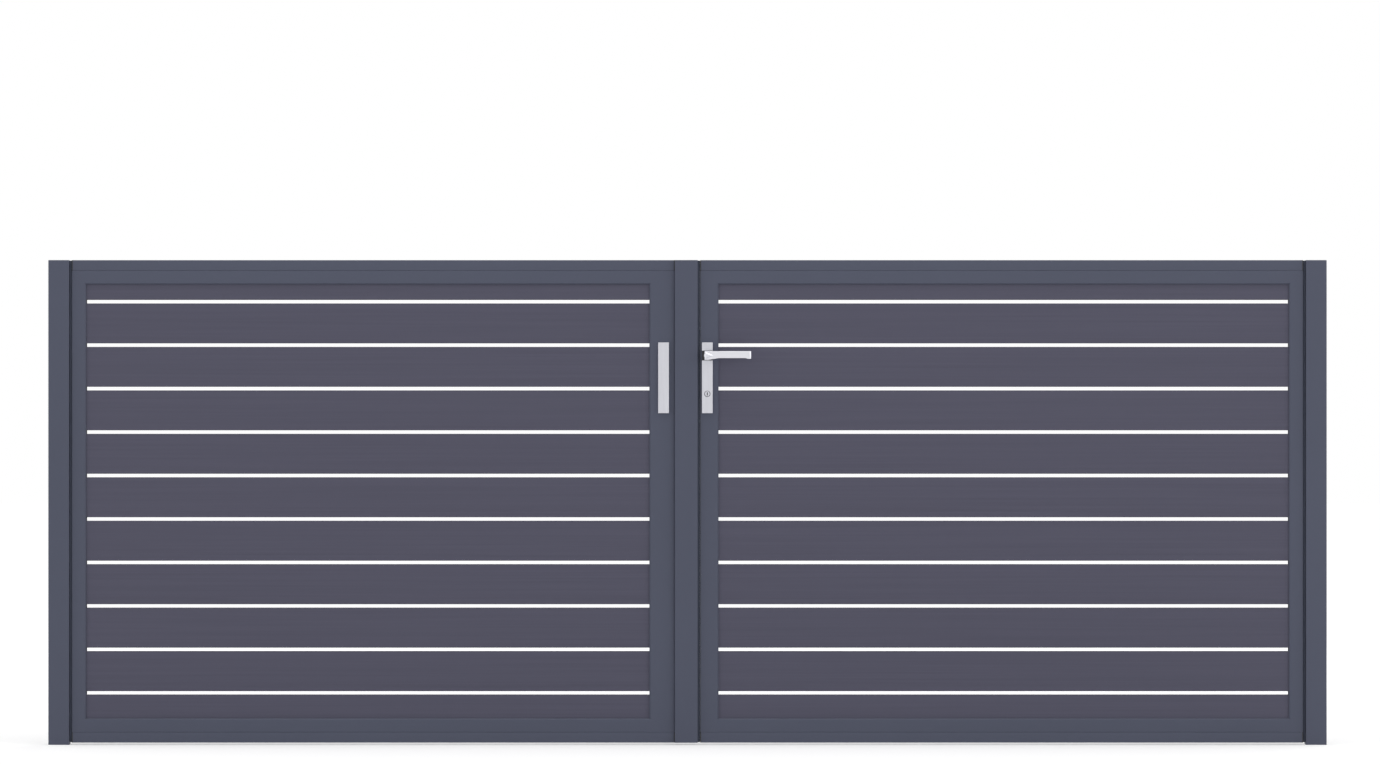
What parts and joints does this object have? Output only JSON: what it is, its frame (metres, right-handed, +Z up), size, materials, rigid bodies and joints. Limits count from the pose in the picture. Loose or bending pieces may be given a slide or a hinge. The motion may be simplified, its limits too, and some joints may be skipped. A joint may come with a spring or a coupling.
{
  "type": "double swing gate",
  "caption": "Double swing gate with horizontal anthracite boards in metal frames, hung between two posts, with a lever handle on the right leaf.",
  "frame": {"origin": "Centre of the left post's flat foot face, at ground level.", "axes": "X runs along the closed gate from the left post to the right one, Y points to the rear, which the leaves open towards, and Z is up."},
  "size_m": [3.067, 0.15, 1.163],
  "materials": {
    "frame": "satin",
    "board": "matte",
    "steel": "satin",
    "black_plastic": "matte"
  },
  "bodies": {
    "posts": {"left_post": "frame", "right_post": "frame", "left_post_cap": "frame", "right_post_cap": "frame", "left_lower_post_hinge": "steel", "left_upper_post_hinge": "steel", "right_lower_post_hinge": "steel", "right_upper_post_hinge": "steel"},
    "left_leaf": {"left_top_rail": "frame", "left_bottom_rail": "frame", "left_rail_caps": "black_plastic", "left_top_channel": "frame", "left_bottom_channel": "frame", "left_hinge_stile": "frame", "left_lock_stile": "frame", "left_boards": "board", "left_lower_leaf_hinge": "steel", "left_upper_leaf_hinge": "steel", "stop_strip": "frame", "strip_caps": "frame", "strike_plate": "steel", "blank_plate": "steel", "drop_bolt": "steel", "bolt_guides": "steel"},
    "right_leaf": {"right_top_rail": "frame", "right_bottom_rail": "frame", "right_rail_caps": "black_plastic", "right_top_channel": "frame", "right_bottom_channel": "frame", "right_hinge_stile": "frame", "right_lock_stile": "frame", "right_boards": "board", "right_lower_leaf_hinge": "steel", "right_upper_leaf_hinge": "steel", "mortise_lock": "steel", "front_handle_plate": "steel", "rear_handle_plate": "steel", "front_lever_bearing": "black_plastic", "rear_lever_bearing": "black_plastic", "key_cylinder": "steel"},
    "lever": {"front_lever": "steel", "rear_lever": "steel", "lever_spindle": "steel"}
  },
  "joints": [
    {"name": "left_leaf_swing", "type": "hinge", "parent": "posts", "child": "left_leaf", "pos_m": [0.028, 0.037, 0.58], "axis": [0, 0, 1], "range_deg": [0, 110]},
    {"name": "right_leaf_swing", "type": "hinge", "parent": "posts", "child": "right_leaf", "pos_m": [2.989, 0.037, 0.58], "axis": [0, 0, -1], "range_deg": [0, 110]},
    {"name": "lever_turn", "type": "hinge", "parent": "right_leaf", "child": "lever", "pos_m": [1.556, 0.005, 0.934], "axis": [0, 1, 0], "range_deg": [0, 40], "stiffness_Nm_per_rad": 1.5, "springref_deg": -28.65}
  ]
}
